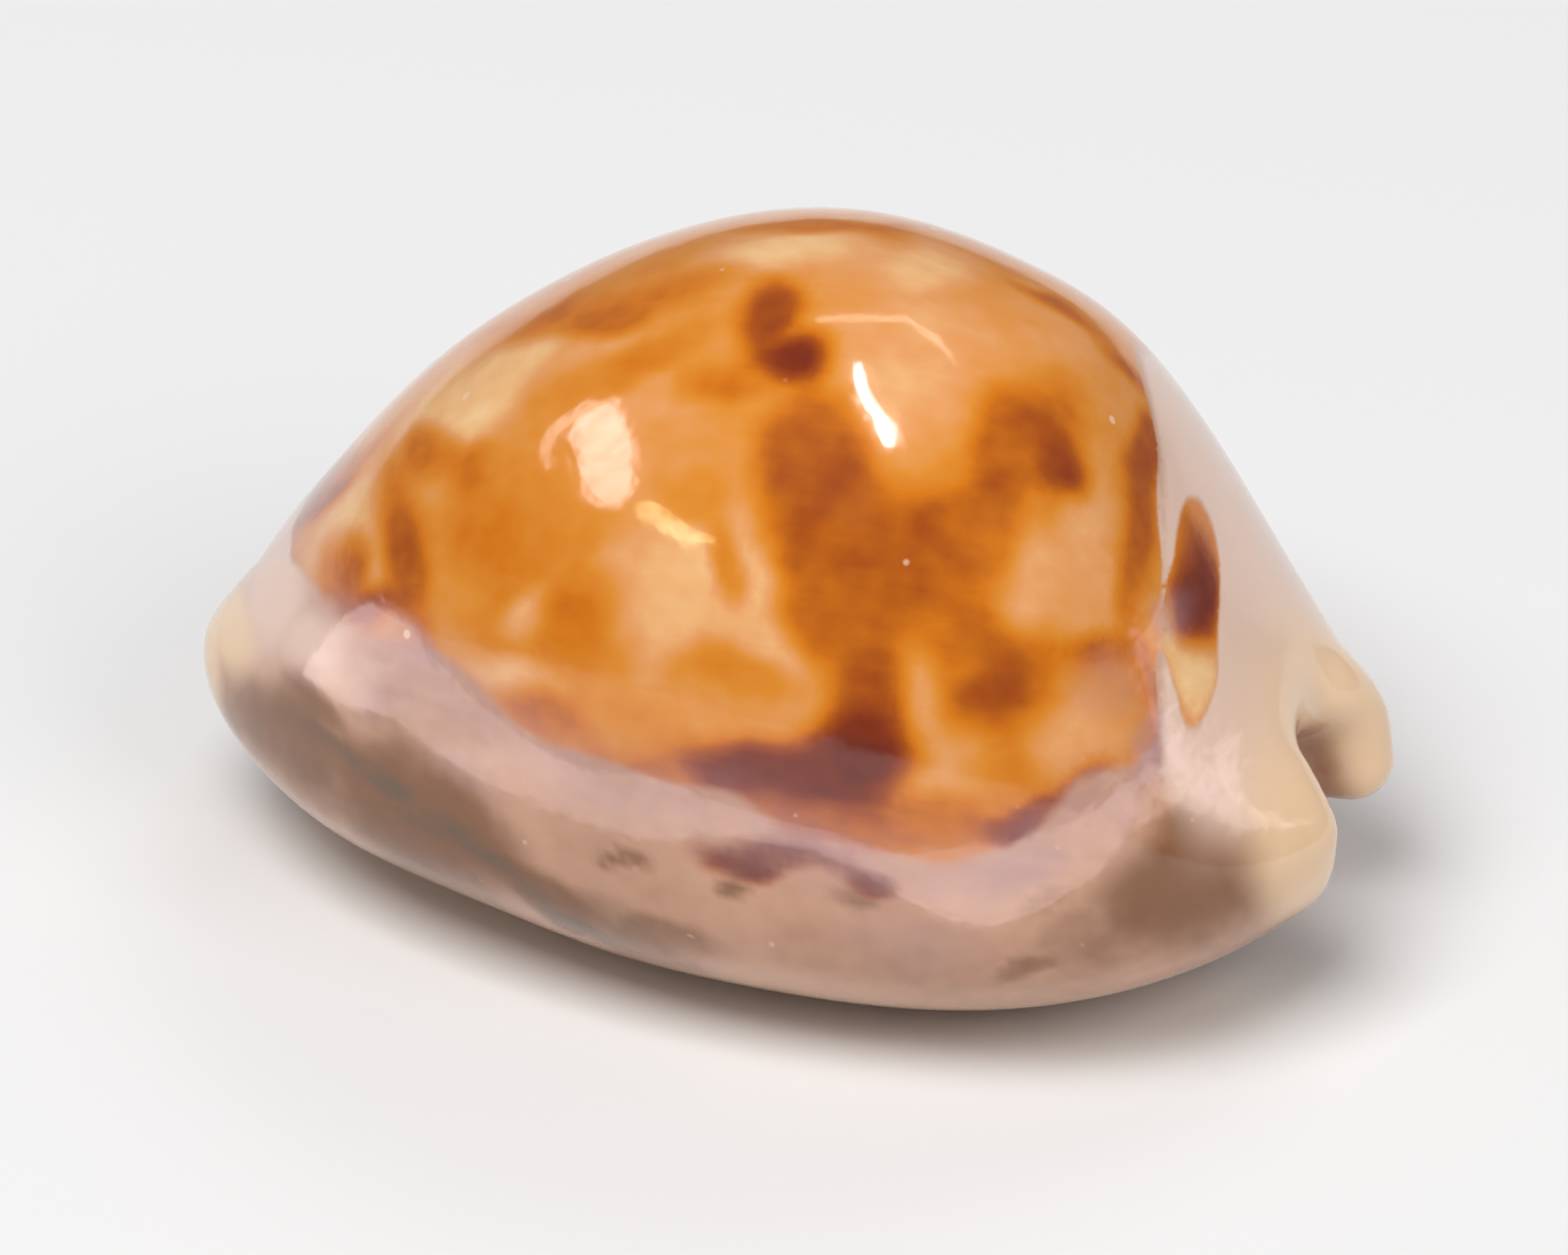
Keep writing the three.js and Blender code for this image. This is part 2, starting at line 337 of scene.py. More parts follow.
def buildShell():
    low = np.array([-36.0, -24.0, -1.0])
    high = np.array([36.0, 24.0, 43.5])
    points, quads = meshSurface(shellDistance, low, high, shellForm["step"])
    print("surface", len(points), "points", len(quads), "quads")
    points = settleOnSurface(shellDistance, points, 2)
    points = evenOut(shellDistance, points, quads, 3)
    points = settleOnSurface(shellDistance, points, 2)
    lowest, highest = np.array(cadBox) / mm
    points = np.clip(points, lowest, highest)        # stays inside the solid's box
    mesh = bpy.data.meshes.new("cowrie")
    mesh.from_pydata((points * mm).tolist(), [], quads.tolist())
    mesh.polygons.foreach_set("use_smooth", [True] * len(mesh.polygons))
    piece = bpy.data.objects.new("cowrie", mesh)
    bpy.context.scene.collection.objects.link(piece)
    return piece, points


shell, shellPoints = buildShell()
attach(shell, "root")
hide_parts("shell")
print("shell built")

# The camera, at the photograph's angle
viewForm = {
    "azimuth": 16.0,
    "elevation": 31.9,
    "distance": 1.8,
    "frameWidth": 90.3,      # millimetres across the picture at the shell
    "aim": (-0.57, 0.0, 16.2),
    "picture": (2156, 1725),
    "sensor": 36.0,
}


# The way from the shell to a place round it, by angles in degrees
def towards(azimuth, elevation):
    turn = math.radians(azimuth)
    lift = math.radians(elevation)
    return Vector((math.sin(turn) * math.cos(lift), -math.cos(turn) * math.cos(lift), math.sin(lift)))


# The way back to the camera, and the picture's right and up
def viewSides():
    back = towards(viewForm["azimuth"], viewForm["elevation"])
    turn = math.radians(viewForm["azimuth"])
    right = Vector((math.cos(turn), math.sin(turn), 0))
    return back, right, back.cross(right)


def buildCamera():
    back = viewSides()[0]
    lens = bpy.data.cameras.new("camera")
    lens.sensor_width = viewForm["sensor"]
    lens.lens = viewForm["sensor"] * viewForm["distance"] / (viewForm["frameWidth"] * mm)
    lens.clip_start = 0.01
    camera = bpy.data.objects.new("camera", lens)
    camera.location = Vector(viewForm["aim"]) * mm + back * viewForm["distance"]
    camera.rotation_euler = back.to_track_quat("Z", "Y").to_euler()
    bpy.context.scene.collection.objects.link(camera)
    bpy.context.scene.camera = camera


buildCamera()
print("camera placed")


# Where the colours lie. A spot is (across, down, half width, half height, turn, amount): pixels of the
# 2156 x 1725 picture, with the turn in degrees clockwise. Tone 0 is cream, 0.2 peach, 0.4 amber,
# 0.7 dark amber, 0.85 red-brown and 1 purple-brown.
colourForm = {
    "seed": 11,
    "backTone": 0.40,
    "paleSpots": [
        (1085, 348, 105, 28, -4, 0.08), (1275, 368, 80, 30, 6, 0.14), (690, 528, 120, 44, -32, 0.12),
        (620, 560, 70, 26, -36, 0.14), (960, 800, 170, 100, -20, 0.17), (1060, 900, 90, 90, 0, 0.22),
        (735, 848, 42, 32, 0, 0.16), (1235, 500, 95, 110, 10, 0.24), (1390, 805, 85, 52, 0, 0.24),
        (1275, 930, 40, 75, -12, 0.20), (1290, 1040, 60, 60, 0, 0.26), (1480, 700, 34, 150, 4, 0.26),
        (1510, 830, 60, 60, 0, 0.26), (1475, 1010, 60, 70, 0, 0.24), (690, 925, 55, 30, 20, 0.18),
        (470, 740, 36, 90, 28, 0.14), (540, 650, 26, 60, 30, 0.2), (900, 560, 70, 30, -20, 0.3),
        (830, 500, 60, 22, -25, 0.26), (1350, 470, 60, 30, 30, 0.3), (530, 760, 22, 50, 4, 0.24),
    ],
    "darkSpots": [
        (820, 430, 130, 34, -14, 0.62), (900, 500, 90, 24, -20, 0.52), (1062, 424, 42, 32, -20, 0.78),
        (1082, 487, 50, 36, 10, 0.88), (1000, 525, 60, 26, -28, 0.58), (640, 655, 42, 40, 0, 0.62),
        (655, 735, 60, 48, 20, 0.54), (790, 780, 26, 60, 14, 0.48), (815, 865, 66, 56, 0, 0.56),
        (1020, 925, 80, 36, 8, 0.48), (560, 770, 30, 130, -10, 0.66), (585, 625, 24, 42, 24, 0.58),
        (1120, 600, 70, 62, 30, 0.70), (1140, 700, 62, 90, 4, 0.78), (1170, 800, 95, 66, 0, 0.70),
        (1200, 720, 60, 60, 0, 0.66), (1185, 885, 58, 60, 0, 0.64), (1190, 960, 62, 60, 0, 0.72),
        (1180, 1035, 82, 56, 0, 0.95), (1040, 1062, 120, 44, 4, 0.90), (1055, 1172, 90, 22, 8, 0.95),
        (1312, 745, 62, 66, 0, 0.72), (1290, 835, 74, 70, 0, 0.62), (1420, 580, 72, 66, 34, 0.70),
        (1448, 640, 48, 52, 0, 0.80), (1375, 620, 50, 60, 0, 0.64), (1380, 945, 74, 78, 0, 0.74),
        (1325, 885, 50, 60, 0, 0.64), (1566, 720, 28, 150, 3, 0.68), (1580, 620, 24, 50, -20, 0.74),
        (1520, 888, 66, 22, 6, 0.64), (1576, 945, 15, 66, 0, 0.66), (1405, 1118, 66, 20, -24, 0.84),
        (1390, 1148, 42, 15, -12, 0.9), (1475, 1085, 50, 18, -32, 0.72), (1180, 1125, 150, 32, 4, 0.66),
        (1290, 1160, 80, 24, 0, 0.58), (735, 985, 66, 28, 30, 0.62), (870, 1052, 90, 18, 6, 0.60),
        (500, 825, 60, 28, 6, 0.74), (480, 775, 26, 44, 10, 0.62), (1150, 312, 130, 14, 2, 0.58),
        (1470, 430, 70, 12, 34, 0.66), (1560, 520, 66, 12, 44, 0.66), (450, 690, 50, 14, -52, 0.74),
        (960, 690, 60, 30, 0, 0.46), (700, 640, 60, 26, -10, 0.46), (930, 1080, 60, 14, 10, 0.6),
        (500, 600, 60, 14, -46, 0.62), (1085, 640, 44, 90, 0, 0.68), (1230, 800, 60, 50, 0, 0.66),
        (1120, 830, 44, 70, 0, 0.64), (430, 680, 16, 70, 30, 0.80), (470, 640, 14, 60, 34, 0.6),
        (1000, 760, 24, 60, 0, 0.5), (1350, 700, 40, 60, 0, 0.66), (1150, 1090, 70, 24, 0, 0.86),
    ],
    "lowPatches": [(1056, 1180, 150, 40, 8), (1200, 1222, 60, 20, 10)],
    "lowPatchTone": 0.9,
    "lowPatchShare": 0.66,
    "lilacSpots": [
        (555, 885, 110, 30, 40, 0.9), (820, 1085, 90, 22, 20, 0.6), (1400, 1190, 90, 42, -20, 0.85),
        (1570, 1030, 34, 50, 0, 0.9), (1220, 1205, 60, 24, 10, 0.6), (1250, 1290, 90, 40, 0, 0.4),
        (1625, 845, 26, 34, 20, 0.8), (400, 800, 14, 60, 10, 0.6), (530, 930, 60, 40, 40, 0.5),
        (1520, 940, 40, 50, 0, 0.45), (650, 1060, 60, 24, 34, 0.4),
    ],
    # the margin's own brown stain, made darker along the lower margin with painted shade
    "stainAndShadeSpots": [
        (560, 1110, 220, 84, 33, 1.0), (400, 1015, 120, 66, 42, 0.95), (430, 960, 60, 30, 40, 0.9),
        (720, 1210, 170, 34, 25, 0.95), (1650, 1220, 150, 90, -24, 1.0), (1710, 1150, 120, 56, 0, 1.0),
        (1500, 1290, 120, 44, -20, 0.6),
        (862, 1197, 34, 16, 0, 0.9), (997, 1218, 34, 16, 0, 0.8), (1180, 1238, 40, 20, 0, 0.75),
        (1400, 1335, 46, 18, 0, 0.75), (900, 1300, 110, 26, 12, 0.7), (1450, 1240, 60, 20, -30, 0.6),
    ],
    # painted shade: a dark streak along a shallow valley on the lower margin
    "shadeStreakSpots": [
        (590, 1120, 210, 16, 36, 1.0), (800, 1262, 90, 12, 22, 0.9), (700, 1200, 90, 12, 34, 0.7),
    ],
    # pale callus at the ends; at the front it also stands for a painted reflection, a pale veil
    "callusAndReflectionSpots": [
        (385, 810, 50, 100, 14, 1.0), (430, 880, 60, 46, 30, 0.9), (1600, 760, 10, 110, 0, 0.8),
        (1700, 720, 60, 130, -22, 0.5), (470, 900, 60, 30, 35, 0.45), (1660, 640, 50, 30, -50, 0.7),
    ],
    "noseSpots": [(312, 876, 44, 66, 0, 0.9), (1880, 1000, 60, 90, 0, 0.8)],
    "eye": (1642, 850, 36, 152, 3),
    "eyeSpots": [
        (1640, 745, 46, 60, 0, 0.58), (1654, 826, 30, 56, -8, 0.88),
        (1616, 870, 16, 44, 10, 0.14), (1640, 945, 42, 62, 0, 0.10),
    ],
    "spotFade": (0.35, 1.6),             # from a spot's middle, in parts of its half size
    "eyeFade": (0.2, 0.7),
    "facing": (-0.08, 0.12),
    "wobble": [(9, 16, (1, 2)), (4, 6, (3, 4))],     # lump size in millimetres, shift in pixels, seeds
    "backEdge": [
        (408, 800), (445, 842), (500, 864), (590, 900), (680, 962), (760, 1018), (870, 1064), (1000, 1096),
        (1110, 1136), (1200, 1166), (1300, 1184), (1390, 1158), (1480, 1090), (1560, 1062), (1600, 990),
    ],
    "backFade": (-1.6, 1.4),             # millimetres, as are the other fades, edges and heights
    "backWander": 0.7,
    "frontEdge": 21.1,                   # from the picture's middle to where the front callus and its painted reflection start
    "frontFade": (-0.25, 0.35),
    "frontWander": 0.2,
    "frontSlant": 0.45,                  # on the far side that edge runs back again
    "slantWidth": 7,
    "hindEdge": 29.6,
    "hindFade": (-2.5, 1.5),
    "hindWander": 1.5,
    "ridge": -1,
    "lilacLine": (1.0, 2.4, 0.55),       # how far below the back's edge, how wide and how strong
    "lilacFront": (-1, 2),
    "stain": (0.25, 0.2),                # the brown stain, deepened with painted shade: everywhere, and how much it varies
    "frontTip": (29.0, 34.0),
    "hindTip": (31.0, 34.0),
    "callusAndReflectionSoftness": 9,
    "callusAndReflectionHeight": (12, 20),
    "callusAndReflectionFoot": (10.5, 15),
    "baseFacing": (0.55, 0.95),          # how far a point has to look down to count as base
    "baseHeight": (5, 9),
    # painted shade inside the opening: how deep it starts and ends, and where it stops at the front
    "insideShadeDepth": (-1.0, -3.4),
    "insideShadeFront": (27, 30),
    "farSpots": 80,
    "farSpotSize": (2.2, 6.5),
    "farFade": (0.4, 1.3),
    "farHeight": 17,
    "farTones": [0.16, 0.62, 0.72, 0.86],
    "farChances": [0.3, 0.3, 0.25, 0.15],
}


# Where each point lands in the picture, and how far it faces the camera
def inPicture(points, normals):
    back, right, up = [np.array(way) for way in viewSides()]
    away = viewForm["distance"] / mm
    offset = points - np.array(viewForm["aim"])
    depth = (away - offset @ back) / away
    wide, high = viewForm["picture"]
    scale = wide / viewForm["frameWidth"]
    across = wide / 2 + offset @ right / depth * scale
    down = high / 2 - offset @ up / depth * scale
    return np.stack([across, down], axis=1), normals @ back


# The point of the shell that shows at a place in the picture
def underPicture(tree, across, down):
    back, right, up = viewSides()
    wide, high = viewForm["picture"]
    scale = viewForm["frameWidth"] / wide * mm
    aim = Vector(viewForm["aim"]) * mm
    target = aim + right * (across - wide / 2) * scale + up * (high / 2 - down) * scale
    eye = aim + back * viewForm["distance"]
    return tree.ray_cast(eye, (target - eye).normalized())[0]


# A smooth random field over the shell, about -1 to 1, with lumps of a given size in millimetres
def ripple(points, size, seed, stretch=(1, 1, 1)):
    rng = np.random.default_rng(seed)
    total = np.zeros(len(points))
    waves = 14
    evenSize = 1.2
    for _ in range(waves):
        heading = rng.normal(size=3)
        heading /= np.linalg.norm(heading)
        wave = points @ (heading * np.array(stretch)) * 2 * np.pi / (size * rng.uniform(0.8, 1.6))
        total += np.sin(wave + rng.uniform(0, 2 * np.pi))
    return total / math.sqrt(waves) / evenSize


# How much of a spot there is at each point
def spotShare(places, facing, spot):
    across, down, halfWide, halfHigh, turn = spot[:5]
    dx = places[:, 0] - across
    dy = places[:, 1] - down
    tilt = math.radians(turn)
    lengthwise = (dx * math.cos(tilt) + dy * math.sin(tilt)) / halfWide
    crosswise = (dy * math.cos(tilt) - dx * math.sin(tilt)) / halfHigh
    return (1 - fade(*colourForm["spotFade"], np.sqrt(lengthwise ** 2 + crosswise ** 2))) * facing


# Random spots for the side that the photograph doesn't show
def addFarSpots(tone, points, toCamera, facing):
    form = colourForm
    seed = form["seed"]
    rng = np.random.default_rng(seed)
    choice = points[(points[:, 2] > form["farHeight"]) & (toCamera < 0.1)]
    small, large = form["farSpotSize"]
    bent = points + np.stack([ripple(points, 8, seed + 10 + i) for i in range(3)], axis=1) * 1.6
    for middle in choice[rng.choice(len(choice), form["farSpots"], replace=False)]:
        size = rng.uniform(small, large)
        away = np.linalg.norm((bent - middle) * rng.uniform(0.6, 1.2, 3), axis=1) / size
        target = rng.choice(form["farTones"], p=form["farChances"])
        tone += (target - tone) * (1 - fade(*form["farFade"], away)) * (1 - facing) * 0.9


# Lays the colours down as one number per point for each layer that the material reads
def colourShell(piece, points, tree):
    form = colourForm
    seed = form["seed"]
    x, y, z = points.T
    slope = gradient(shellDistance, points)
    normals = slope / np.linalg.norm(slope, axis=1)[:, None]
    places, toCamera = inPicture(points, normals)
    facing = fade(*form["facing"], toCamera)
    wobble = 0
    for lump, shift, seeds in form["wobble"]:
        wobble = wobble + np.stack([ripple(points, lump, seed + i) for i in seeds], axis=1) * shift
    places = places + wobble

    def strongest(start, group):
        for spot in form[group]:
            start = np.maximum(start, spotShare(places, facing, spot) * spot[5])
        return start

    tone = form["backTone"] + 0.07 * ripple(points, 14, seed + 5)
    for group, strength in (("paleSpots", 0.9), ("darkSpots", 0.95)):
        for spot in form[group]:
            tone += (spot[5] - tone) * spotShare(places, facing, spot) * strength
    addFarSpots(tone, points, toCamera, facing)

    # where the back's colours end: along the margins and at both ends
    edge = [underPicture(tree, *place) for place in form["backEdge"]]
    edge = sorted((point.x / mm, point.z / mm) for point in edge if point)
    height = z - np.interp(x, *zip(*edge))
    turn = math.radians(viewForm["azimuth"])
    near = math.sin(turn) * np.maximum(form["ridge"] - y, 0)
    far = form["frontSlant"] * np.clip(y - form["ridge"], 0, form["slantWidth"])
    front = form["frontEdge"] - math.cos(turn) * x + near - far
    hind = form["hindEdge"] + math.cos(turn) * x - math.sin(turn) * np.abs(y - form["ridge"])
    uneven = ripple(points, 7, seed + 6)
    frayed = ripple(points, 3, seed + 7, (0.3, 1, 1))
    onBack = fade(*form["backFade"], height + uneven * form["backWander"])
    onBack *= fade(*form["frontFade"], front + uneven * form["frontWander"])
    onBack *= fade(*form["hindFade"], hind + frayed * form["hindWander"])

    # the eye-shaped patch beyond the front edge, and the dark patches below the back
    eye = fade(*form["eyeFade"], spotShare(places - wobble * 0.5, facing, form["eye"]))
    for spot in form["eyeSpots"]:
        tone += (spot[5] - tone) * spotShare(places, facing, spot) * eye
    onBack = np.maximum(onBack, eye)
    for spot in form["lowPatches"]:
        share = spotShare(places, facing, spot)
        onBack = np.maximum(onBack, share * form["lowPatchShare"])
        tone += (form["lowPatchTone"] - tone) * share

    drop, width, strength = form["lilacLine"]
    lilac = np.exp(-((height + drop) / width) ** 2) * strength * fade(*form["lilacFront"], front)
    # the margin's brown stain, with painted shade deepening it towards the bottom
    stain, stainAndShadeRange = form["stain"]
    stain = stain + stainAndShadeRange * ripple(points, 12, seed + 8)
    tips = np.maximum(fade(*form["frontTip"], x + 0.25 * (z - 10)), fade(*form["hindTip"], -x))
    # the pale front callus, which also paints a reflection there as a pale veil
    softness = form["callusAndReflectionSoftness"] * (1 - fade(*form["callusAndReflectionHeight"], z))
    callus = 1 - fade(-0.6 - softness, 0.1, front)
    callus *= fade(*form["callusAndReflectionFoot"], z - 0.3 * (x - 24))
    under = fade(*form["baseFacing"], -normals[:, 2]) * (1 - fade(*form["baseHeight"], z))
    depth = asDistance(ovalField, x, y, z, shellForm["halfLength"], 0, 0, 0)
    layers = {
        "tone": tone,
        "onBack": onBack,
        "lilac": strongest(lilac, "lilacSpots"),
        "stain": strongest(stain, "stainAndShadeSpots"),
        # painted shade along a shallow valley of the lower margin
        "streak": strongest(np.zeros(len(points)), "shadeStreakSpots"),
        "tips": strongest(tips, "noseSpots"),
        "callus": strongest(callus, "callusAndReflectionSpots"),
        "under": under,
        # painted shade: the shell darkens with depth inside the opening
        "inside": fade(*form["insideShadeDepth"], depth) * (1 - fade(*form["insideShadeFront"], x)),
    }
    for name, values in layers.items():
        layer = piece.data.attributes.new(name, "FLOAT", "POINT")
        layer.data.foreach_set("value", np.asarray(values, np.float32))


shellTree = BVHTree.FromObject(shell, bpy.context.evaluated_depsgraph_get())
colourShell(shell, shellPoints, shellTree)
print("colours laid")


# A socket that takes part in plain arithmetic: each step adds a Math node
class Signal:
    def __init__(self, paint, socket):
        self.paint = paint
        self.socket = socket

    def step(self, operation, *values):
        return self.paint.add("Math", {"operation": operation}, dict(enumerate(values)))

    def __add__(self, other):
        return self.step("ADD", self, other)

    def __sub__(self, other):
        return self.step("SUBTRACT", self, other)

    def __rsub__(self, other):
        return self.step("SUBTRACT", other, self)

    def __mul__(self, other):
        return self.step("MULTIPLY", self, other)

    __radd__ = __add__
    __rmul__ = __mul__


# A material being built. Any node comes from add: its type, its settings, then its values and links.
class Paint:
    def __init__(self, name):
        self.material = bpy.data.materials.new(name)
        self.material.use_nodes = True
        self.tree = self.material.node_tree
        self.tree.nodes.clear()

    def add(self, kind, settings, values, output=0):
        node = self.tree.nodes.new("ShaderNode" + kind)
        for name, value in settings.items():
            if name == "stops":
                ramp = node.color_ramp
                while len(ramp.elements) < len(value):
                    ramp.elements.new(0.5)
                for stop, (place, colour) in zip(ramp.elements, value):
                    stop.position = place
                    stop.color = colour
            else:
                setattr(node, name, value)
        for name, value in values.items():
            if isinstance(value, Signal):
                self.tree.links.new(value.socket, node.inputs[name])
            else:
                node.inputs[name].default_value = value
        return Signal(self, node.outputs[output]) if node.outputs else None

    def layer(self, name):
        return self.add("Attribute", {"attribute_name": name}, {}, "Fac")

    def blend(self, share, first, second):
        return self.add("Mix", {"data_type": "RGBA"}, {0: share, 6: first, 7: second}, 2)

    def smooth(self, value, low, high):
        settings = {"interpolation_type": "SMOOTHSTEP"}
        return self.add("MapRange", settings, {"Value": value, "From Min": low, "From Max": high})


# A colour given as 0-255 screen values, as a shader takes it
def screenColour(red, green, blue):
    shares = [value / 255 for value in (red, green, blue)]
    return tuple(s / 12.92 if s <= 0.04045 else ((s + 0.055) / 1.055) ** 2.4 for s in shares) + (1,)


paintForm = {
    "tones": [
        (0.0, (246, 212, 160)), (0.16, (234, 182, 124)), (0.28, (224, 154, 94)), (0.42, (216, 136, 44)),
        (0.56, (206, 114, 6)), (0.70, (164, 76, 4)), (0.84, (126, 44, 10)), (1.0, (80, 22, 20)),
    ],
    "margin": (200, 152, 124),
    # the margin's own brown, also used as painted shade along the lower margin
    "brown": (128, 82, 48),
    # colour of the painted shade in that valley
    "streak": (96, 76, 58),
    "lilac": (168, 132, 138),
    "tip": (240, 204, 164),
    # pale callus colour, also the painted reflection on the front end
    "callus": (232, 200, 182),
    "under": (226, 192, 166),
    # painted shade inside the opening
    "inside": (150, 104, 84),
    "speck": (236, 206, 180),
    "roughness": 0.10,
    "roughnessRange": 0.05,
    "insideRoughness": 0.25,
    "gloss": 1.52,           # index of refraction
    "coat": 0.35,
    "coatRoughness": 0.03,
    "waveHeight": 0.00010,
    "broadGrain": 200,
    "middlingGrain": 420,
    "fineGrain": 800,
    "streakGrain": 900,
    "streakStretch": (0.12, 1.0, 1.0),
    "waveGrain": 140,
    "speckGrain": 260.0,
}


def paintShell():
    form = paintForm
    paint = Paint("glazed cowrie")
    place = paint.add("TexCoord", {}, {}, "Object")

    def noise(scale, detail=2, where=place):
        values = {"Vector": where, "Scale": scale, "Detail": detail, "Roughness": 0.55}
        return paint.add("TexNoise", {}, values, "Fac") - 0.5

    def cover(share, under, name):
        return paint.blend(share, under, screenColour(*form[name]))

    flow = paint.add("Mapping", {}, {"Vector": place, "Scale": form["streakStretch"]})
    streaks = noise(form["streakGrain"], 3, flow)
    broad = noise(form["broadGrain"])
    middling = noise(form["middlingGrain"])
    fine = noise(form["fineGrain"])
    tone = paint.layer("tone") + broad * 0.20 + fine * 0.06 + streaks * 0.08
    stops = [(at, screenColour(*colour)) for at, colour in form["tones"]]
    backColour = paint.add("ValToRGB", {"stops": stops}, {"Fac": tone})
    # brown stain over the margin, partly painted shade along its lower part
    stain = paint.smooth(paint.layer("stain") + broad * 0.5 + fine * 0.15, 0.1, 1.0)
    colour = cover(stain, screenColour(*form["margin"]), "brown")
    # painted shade along a shallow valley on the lower margin
    streak = paint.layer("streak") * paint.smooth(streaks, -0.25, 0.15)
    colour = cover(streak * 0.8, colour, "streak")
    base = paint.smooth(paint.layer("under") + broad * 0.3, 0.1, 0.9)
    colour = cover(base, colour, "under")
    onBack = paint.smooth(paint.layer("onBack") + middling * 0.35, 0.3, 0.75)
    colour = paint.blend(onBack, colour, backColour)
    lilac = paint.layer("lilac") * (paint.smooth(middling, -0.3, 0.2) * 0.4 + 0.6)
    colour = cover(lilac * 0.75, colour, "lilac")
    # pale callus, and a painted reflection as a pale veil over the front end
    callus = paint.layer("callus") * (1 - onBack)
    colour = cover(callus * 0.9, colour, "callus")
    tips = paint.smooth(paint.layer("tips") + broad * 0.3, 0.15, 0.95)
    colour = cover(tips * 0.9, colour, "tip")
    specks = paint.add("TexVoronoi", {}, {"Vector": place, "Scale": form["speckGrain"]}, "Distance")
    speck = (1 - paint.smooth(specks, 0.05, 0.09)) * paint.smooth(broad, 0.02, 0.1)
    colour = cover(speck * 0.6, colour, "speck")
    # painted shade inside the opening, darker with depth
    inside = paint.layer("inside")
    colour = cover(inside, colour, "inside")

    wave = noise(form["waveGrain"], 1) + middling * 0.35
    bump = paint.add("Bump", {}, {"Height": wave, "Strength": 1.0, "Distance": form["waveHeight"]})
    roughness = fine * form["roughnessRange"] + form["roughness"] + inside * form["insideRoughness"]
    values = {
        "Base Color": colour,
        "Roughness": roughness,
        "Normal": bump,
        "IOR": form["gloss"],
        "Coat Weight": form["coat"],
        "Coat Roughness": form["coatRoughness"],
    }
    surface = paint.add("BsdfPrincipled", {}, values)
    paint.add("OutputMaterial", {}, {"Surface": surface})
    return paint.material


shell.data.materials.append(paintShell())
print("shell painted")

# A plain pale floor
floorHalf = 3
floorMesh = bpy.data.meshes.new("floor")
floorCorners = [(x * floorHalf, y * floorHalf, 0) for x, y in ((-1, -1), (1, -1), (1, 1), (-1, 1))]
floorMesh.from_pydata(floorCorners, [], [(0, 1, 2, 3)])
floor = bpy.data.objects.new("floor", floorMesh)
bpy.context.scene.collection.objects.link(floor)


def softLight(name, azimuth, elevation, distance, size, power):
    back = towards(azimuth, elevation)
    data = bpy.data.lights.new(name, "AREA")
    data.shape = "RECTANGLE"
    data.size, data.size_y = size
    data.energy = power
    light = bpy.data.objects.new(name, data)
    light.location = back * distance + Vector((0, 0, 0.02))
    light.rotation_euler = back.to_track_quat("Z", "Y").to_euler()
    light.visible_glossy = False
    bpy.context.scene.collection.objects.link(light)


# Soft boxes round the shell, unseen in its glaze: azimuth, elevation, distance, size and power
lightForm = {
    "keyLight": (-20, 62, 1.3, (0.9, 0.7), 14.5),
    "fillLight": (60, 40, 1.4, (0.8, 0.6), 5),
    "backLight": (170, 50, 1.5, (0.9, 0.5), 3),
}
for name, values in lightForm.items():
    softLight(name, *values)

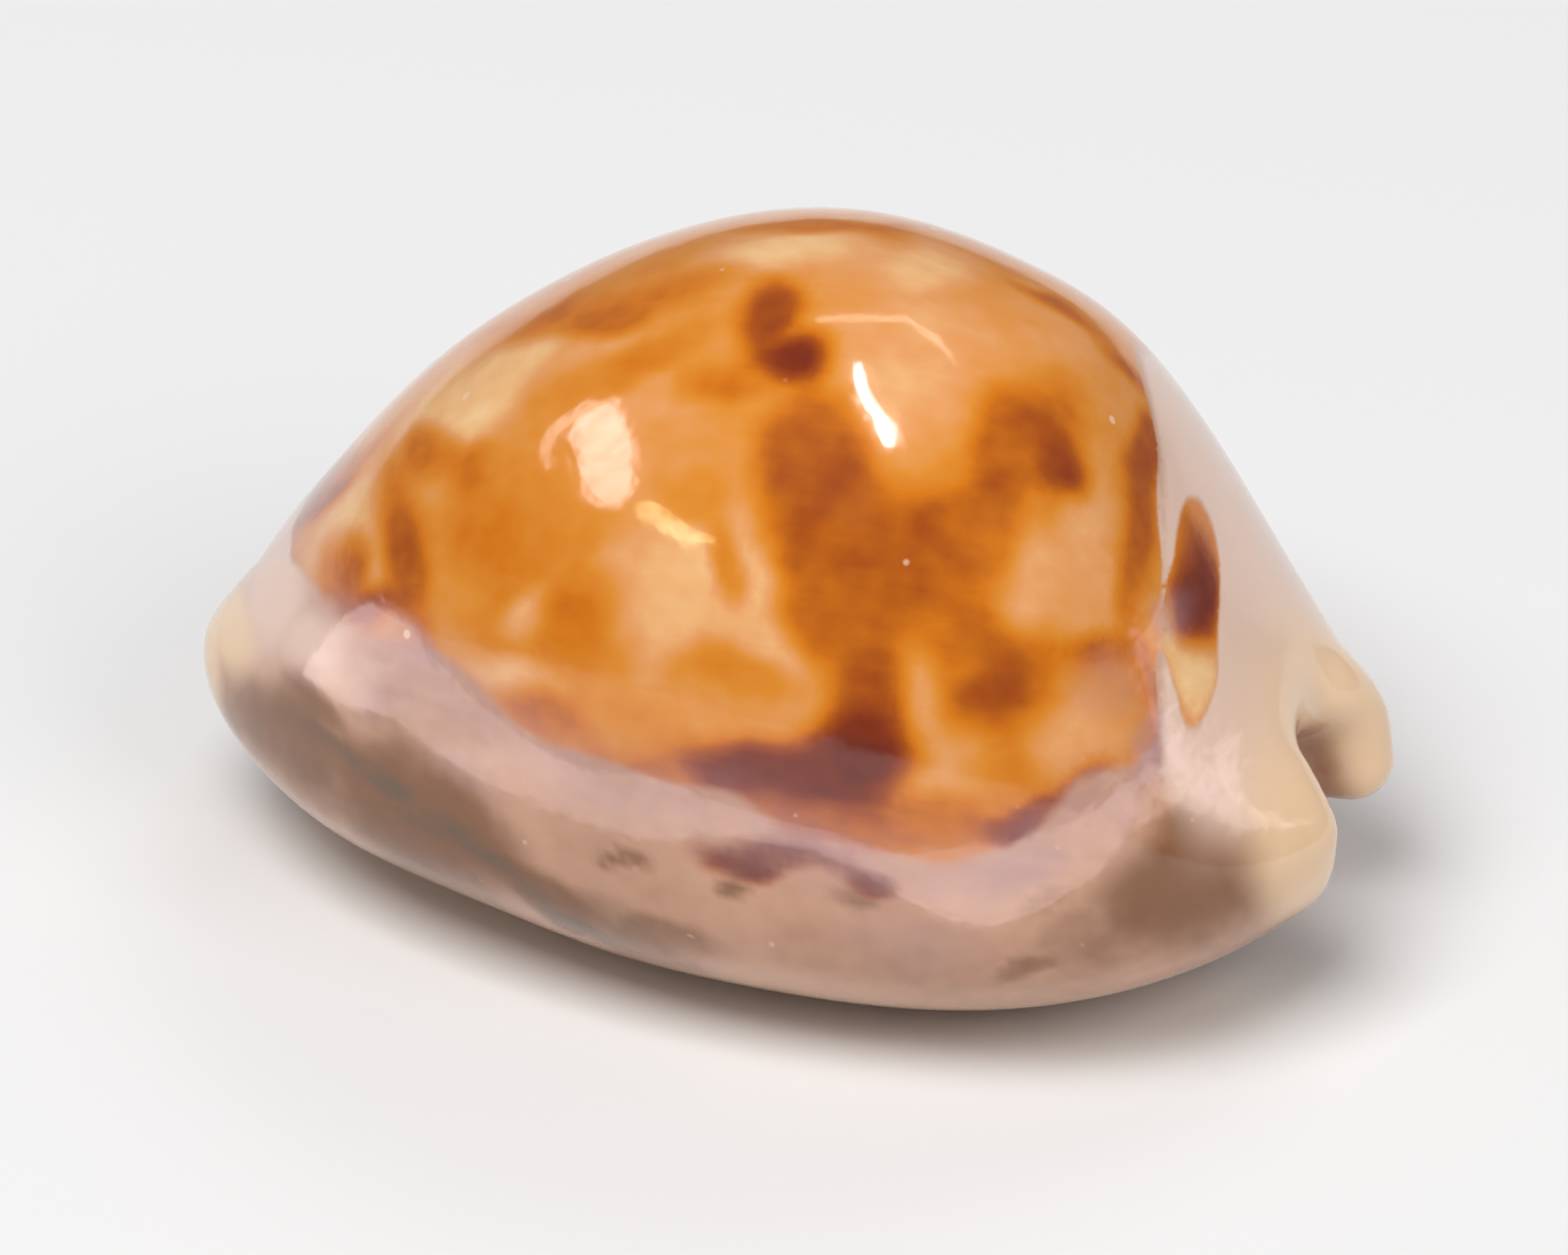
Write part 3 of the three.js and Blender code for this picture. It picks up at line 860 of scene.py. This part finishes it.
# What the glaze mirrors: cards that only reflections see. Each has a colour, a strength and a strip of
# pixel pairs of the picture, and stands where the glaze sends the camera's view from there.
cardReach = 0.25
cardUnevenness = 60.0
cardForm = {
    "glint": ((1, 1, 1), 30, [
        (1173, 496, 1184, 495), (1174, 520, 1190, 518), (1182, 545, 1197, 535), (1190, 562, 1212, 558),
        (1203, 574, 1218, 570), (1206, 594, 1228, 588), (1216, 614, 1230, 612)]),
    "glow": ((1, 0.86, 0.84), 10.0, [
        (792, 570, 850, 548), (780, 600, 862, 585), (790, 630, 868, 622), (800, 656, 868, 650),
        (816, 680, 862, 676), (832, 692, 850, 690)]),
    "hook": ((1, 0.85, 0.78), 5.5, [
        (846, 545, 850, 555), (802, 550, 808, 564), (765, 574, 773, 588), (741, 602, 756, 609),
        (738, 630, 752, 632), (748, 646, 757, 640)]),
    "streak": ((1, 0.92, 0.5), 8.0, [
        (872, 689, 869, 700), (897, 688, 886, 712), (920, 702, 906, 728), (946, 722, 936, 744),
        (986, 738, 981, 744)]),
    "arc": ((1, 0.85, 0.7), 5.0, [
        (1120, 436, 1122, 442), (1175, 434, 1175, 441), (1205, 433, 1206, 441), (1250, 436, 1248, 443),
        (1285, 457, 1279, 464), (1312, 484, 1304, 488), (1321, 502, 1313, 503)]),
    "band": ((1, 0.84, 0.82), 3.4, [
        (474, 842, 410, 927), (507, 830, 464, 965), (560, 862, 539, 986), (604, 916, 582, 1024),
        (660, 975, 668, 1078), (755, 1040, 755, 1116), (819, 1067, 841, 1146), (870, 1062, 916, 1159),
        (930, 1080, 970, 1151), (985, 1104, 1035, 1156), (1078, 1132, 1110, 1172), (1143, 1145, 1180, 1197),
        (1190, 1168, 1240, 1235), (1250, 1177, 1310, 1268), (1326, 1166, 1370, 1274),
        (1401, 1159, 1440, 1250), (1477, 1132, 1509, 1207), (1540, 1085, 1552, 1155),
        (1590, 1067, 1595, 1108), (1640, 1010, 1660, 1094), (1700, 985, 1714, 1110)]),
}


def mirrorCard(name, colour, strength, strip):
    back = viewSides()[0]
    corners = []
    for left, top, right, low in strip:
        for spot in ((left, top), (right, low)):
            hit = underPicture(shellTree, *spot)
            slope = Vector(gradient(shellDistance, np.array([hit]) / mm)[0]).normalized()
            outwards = 2 * slope.dot(back) * slope - back
            reach = cardReach
            if outwards.z < 0:      # the floor is in the way: stay above it
                reach = min(reach, -0.85 * hit.z / outwards.z)
            corners.append(hit + outwards * reach)
    faces = [(2 * i, 2 * i + 1, 2 * i + 3, 2 * i + 2) for i in range(len(strip) - 1)]
    mesh = bpy.data.meshes.new(name)
    mesh.from_pydata(corners, [], faces)
    paint = Paint(name)
    place = paint.add("TexCoord", {}, {}, "Object")
    uneven = paint.add("TexNoise", {}, {"Vector": place, "Scale": cardUnevenness}, "Fac")
    dim, bright = [tuple(part * share for part in colour) + (1,) for share in (0.4, 1.4)]
    values = {"Color": paint.blend(uneven, dim, bright), "Strength": strength}
    paint.add("OutputMaterial", {}, {"Surface": paint.add("Emission", {}, values)})
    paint.material.cycles.emission_sampling = "NONE"
    mesh.materials.append(paint.material)
    card = bpy.data.objects.new(name, mesh)
    card.visible_camera = card.visible_diffuse = card.visible_shadow = False
    bpy.context.scene.collection.objects.link(card)


for name, values in cardForm.items():
    mirrorCard(name, *values)
print("cards placed")

world = bpy.data.worlds.new("studio")
world.use_nodes = True
sky = world.node_tree.nodes["Background"]
sky.inputs["Color"].default_value = (0.9, 0.9, 0.92, 1)
sky.inputs["Strength"].default_value = 0.22
bpy.context.scene.world = world
bpy.context.scene.view_settings.view_transform = "Standard"
